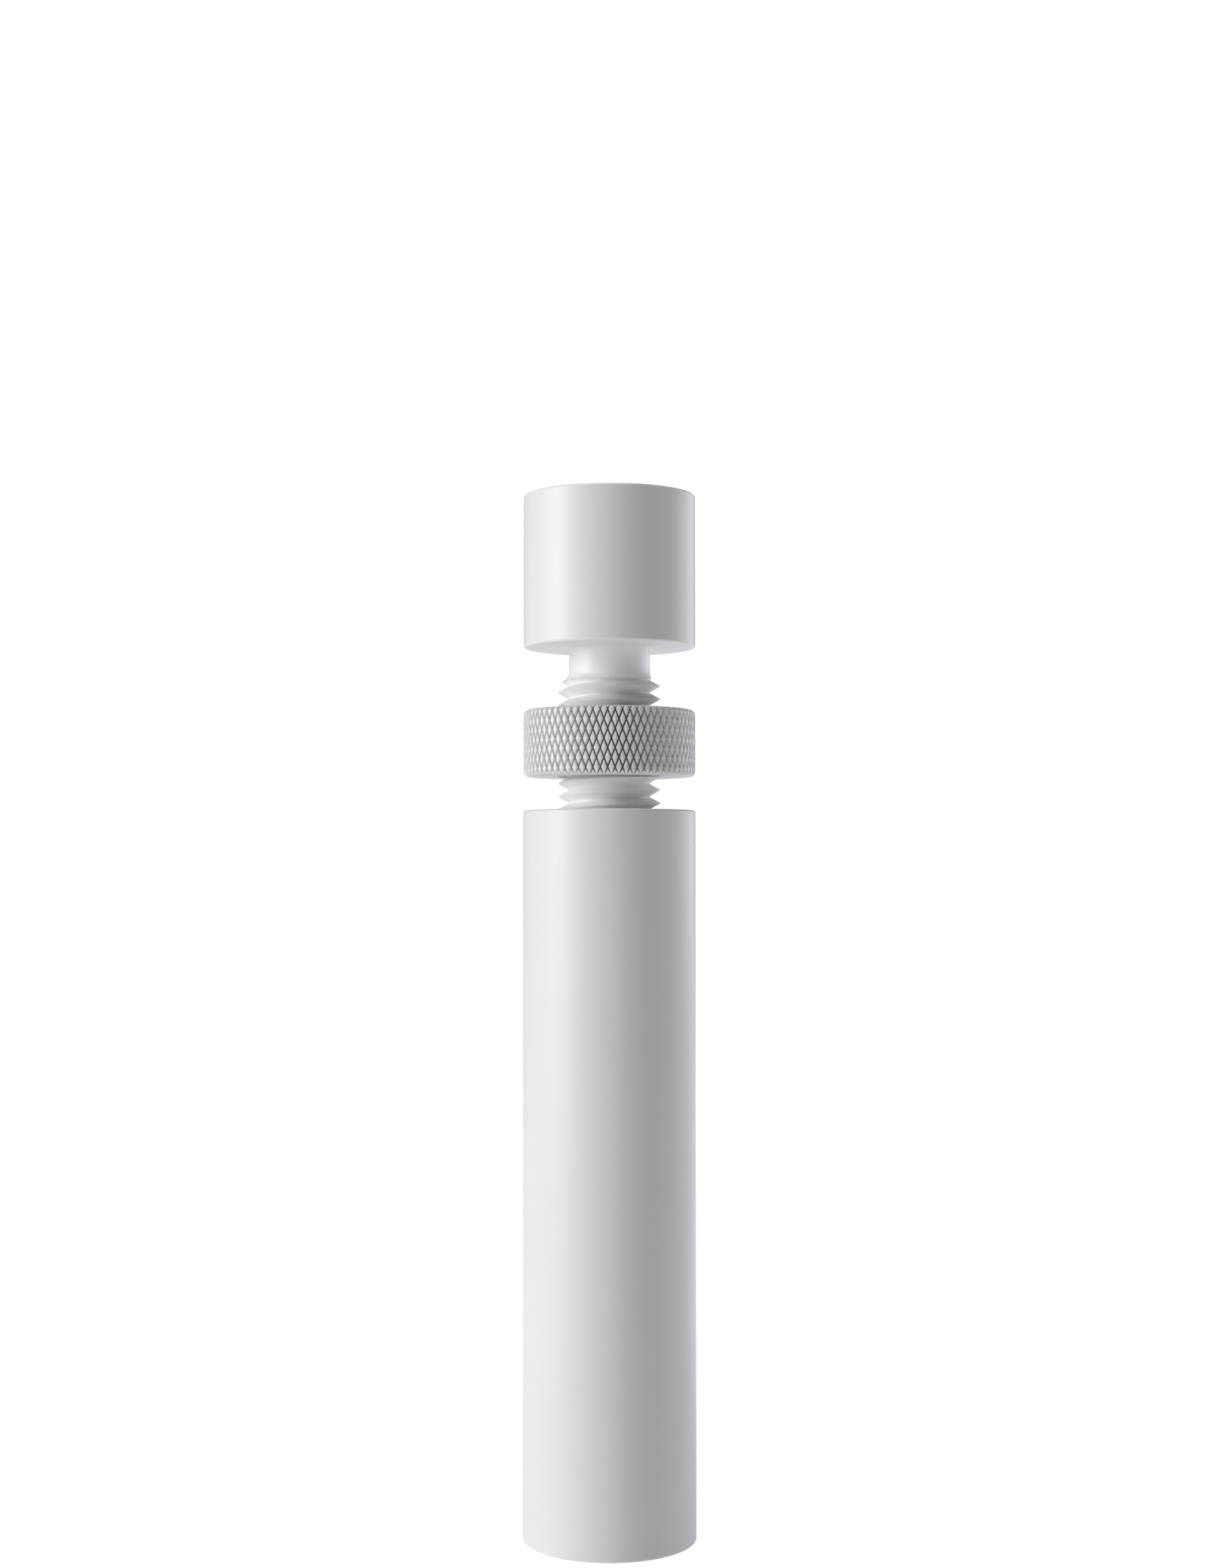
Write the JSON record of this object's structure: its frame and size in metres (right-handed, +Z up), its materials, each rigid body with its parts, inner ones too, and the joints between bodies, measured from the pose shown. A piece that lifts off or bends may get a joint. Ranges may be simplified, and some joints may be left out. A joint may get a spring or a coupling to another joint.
{
  "type": "graphics card support bracket",
  "caption": "Free-standing round column that holds up a sagging graphics card, with a threaded height-adjusting head and a knurled lock nut.",
  "frame": {"origin": "centre of the foot on the surface that the bracket stands on", "axes": "+Z runs up the common axis of the column, stud and head; X and Y are free because the body is round"},
  "size_m": [0.0264, 0.0264, 0.16],
  "materials": {
    "white_paint": "satin white paint on turned aluminium",
    "magnet_plating": "bright nickel plating",
    "foot_rubber": "matte black rubber",
    "pad_silicone": "matte white silicone"
  },
  "bodies": {
    "column": {"column": "white_paint", "magnet": "magnet_plating", "foot_pad": "foot_rubber"},
    "rest_pad": {"top_pad": "pad_silicone"},
    "head": {"head_stud": "white_paint"},
    "nut": {"lock_nut": "white_paint"}
  },
  "joints": [
    {"name": "head_lift", "type": "slide", "parent": "column", "child": "rest_pad", "axis": [0, 0, 1], "range_m": [-0.008, 0.016]},
    {"name": "head_turn", "type": "hinge", "parent": "rest_pad", "child": "head", "pos_m": [0, 0, 0.13605], "axis": [0, 0, 1], "range_deg": [-1440, 2880]},
    {"name": "nut_travel", "type": "slide", "parent": "column", "child": "nut", "axis": [0, 0, 1], "range_m": [-0.0052, 0.0015]}
  ],
  "couplings": [
    {"joint": "head_lift", "follows": "head_turn", "m_per_rad": 0.00031831}
  ]
}
